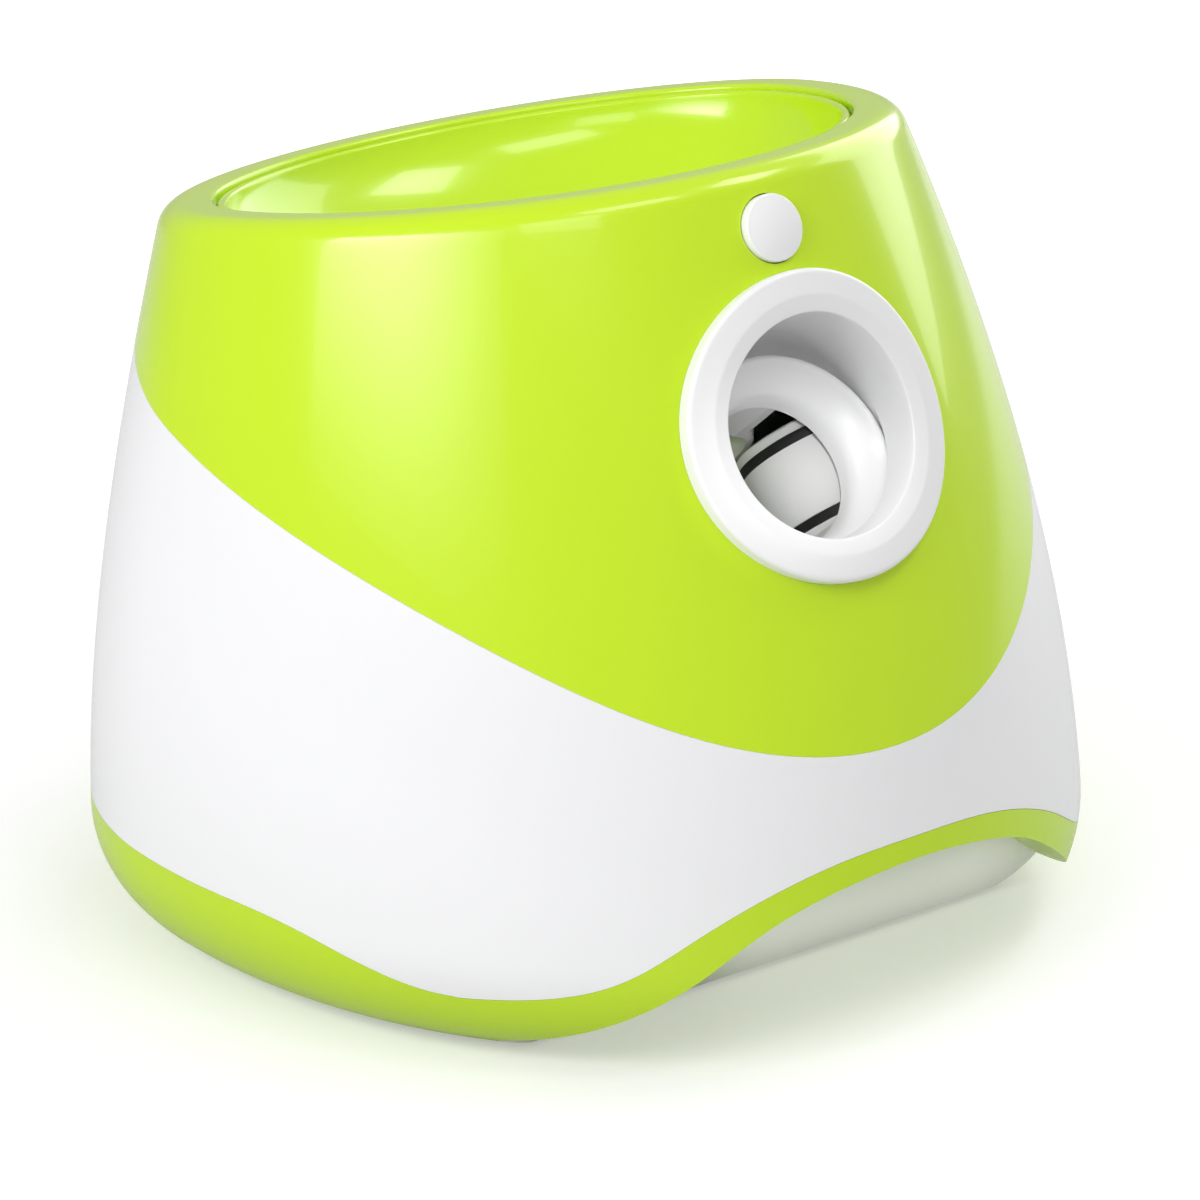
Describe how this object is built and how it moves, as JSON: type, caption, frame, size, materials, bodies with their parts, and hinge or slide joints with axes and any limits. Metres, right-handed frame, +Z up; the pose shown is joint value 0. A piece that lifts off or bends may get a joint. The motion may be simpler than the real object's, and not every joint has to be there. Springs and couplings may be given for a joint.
{
  "type": "automatic dog ball launcher",
  "caption": "Oval tilted-top dog ball launcher with a green hopper, white waist, round front muzzle, spinning flywheels, feed arm, power button and battery base.",
  "frame": {"origin": "on the floor, under the middle of the housing's bounding box", "axes": "the muzzle faces -Y, +Z is up, X runs across the machine and its YZ plane is the plane of symmetry of the housing"},
  "size_m": [0.2858, 0.2669, 0.2289],
  "materials": {
    "shell_green": "glossy lime-green ABS",
    "shell_white": "glossy white ABS",
    "base_green": "glossy lime-green ABS",
    "bowl_green": "glossy lime-green ABS",
    "muzzle_white": "satin white ABS",
    "inner_white": "white ABS as moulded",
    "wheel_white": "white nylon",
    "band_rubber": "black rubber",
    "shaft_steel": "ground steel",
    "motor_steel": "plated can",
    "gearbox_steel": "plated housing",
    "bracket_steel": "zinc-plated sheet",
    "screw_steel": "zinc-plated screws",
    "sensor_black": "black moulding",
    "button_white": "glossy white ABS",
    "board_green": "solder-masked glass-epoxy",
    "chip_black": "moulded cases",
    "contact_brass": "plated spring contacts",
    "cell_steel": "plain printed steel jacket, without print",
    "jack_black": "black moulding",
    "foot_rubber": "soft grey-black rubber"
  },
  "bodies": {
    "housing": {"upper_shell": "shell_green", "lower_shell": "shell_white", "base_pan": "base_green", "hopper_bowl": "bowl_green", "muzzle_bezel": "muzzle_white", "launch_trumpet": "muzzle_white", "launch_channel_left": "inner_white", "launch_channel_right": "inner_white", "motor_bracket": "bracket_steel", "motor_screws": "screw_steel", "flywheel_motor_left": "motor_steel", "flywheel_motor_right": "motor_steel", "ball_sensor_left": "sensor_black", "ball_sensor_right": "sensor_black", "feed_gearbox": "gearbox_steel", "feed_motor": "motor_steel", "feed_cradle": "inner_white", "button_guide": "inner_white", "button_switch": "sensor_black", "button_board": "board_green", "battery_tray": "inner_white", "battery_contacts": "contact_brass", "dc_jack": "jack_black", "control_board": "board_green", "board_parts": "chip_black", "rubber_feet": "foot_rubber", "base_screws": "screw_steel", "battery_cell_1": "cell_steel", "battery_cell_2": "cell_steel", "battery_cell_3": "cell_steel", "battery_cell_4": "cell_steel", "battery_cell_5": "cell_steel", "battery_cell_6": "cell_steel"},
    "flywheel_left": {"flywheel_left": "wheel_white", "upper_grip_band_left": "band_rubber", "lower_grip_band_left": "band_rubber", "motor_shaft_left": "shaft_steel"},
    "flywheel_right": {"flywheel_right": "wheel_white", "upper_grip_band_right": "band_rubber", "lower_grip_band_right": "band_rubber", "motor_shaft_right": "shaft_steel"},
    "feed_arm": {"feed_arm": "inner_white", "feed_shaft": "shaft_steel"},
    "power_button": {"power_button": "button_white"},
    "battery_door": {"battery_door": "base_green"}
  },
  "joints": [
    {"name": "flywheel_left_spin", "type": "hinge", "parent": "housing", "child": "flywheel_left", "pos_m": [-0.0465, -0.04895, 0.12717], "axis": [0, 0.6428, 0.766], "continuous": true},
    {"name": "flywheel_right_spin", "type": "hinge", "parent": "housing", "child": "flywheel_right", "pos_m": [0.0465, -0.04895, 0.12717], "axis": [0, 0.6428, 0.766], "continuous": true},
    {"name": "feed_arm_swing", "type": "hinge", "parent": "housing", "child": "feed_arm", "pos_m": [0, -0.0478, 0.0615], "axis": [1, 0, 0], "range_deg": [0, 38]},
    {"name": "button_press", "type": "slide", "parent": "housing", "child": "power_button", "axis": [0, 0.9191, -0.3939], "range_m": [0, 0.0012], "stiffness_N_per_m": 800, "springref_m": -0.0006},
    {"name": "battery_door_slide", "type": "slide", "parent": "housing", "child": "battery_door", "axis": [0, 1, 0], "range_m": [0, 0.008]}
  ]
}
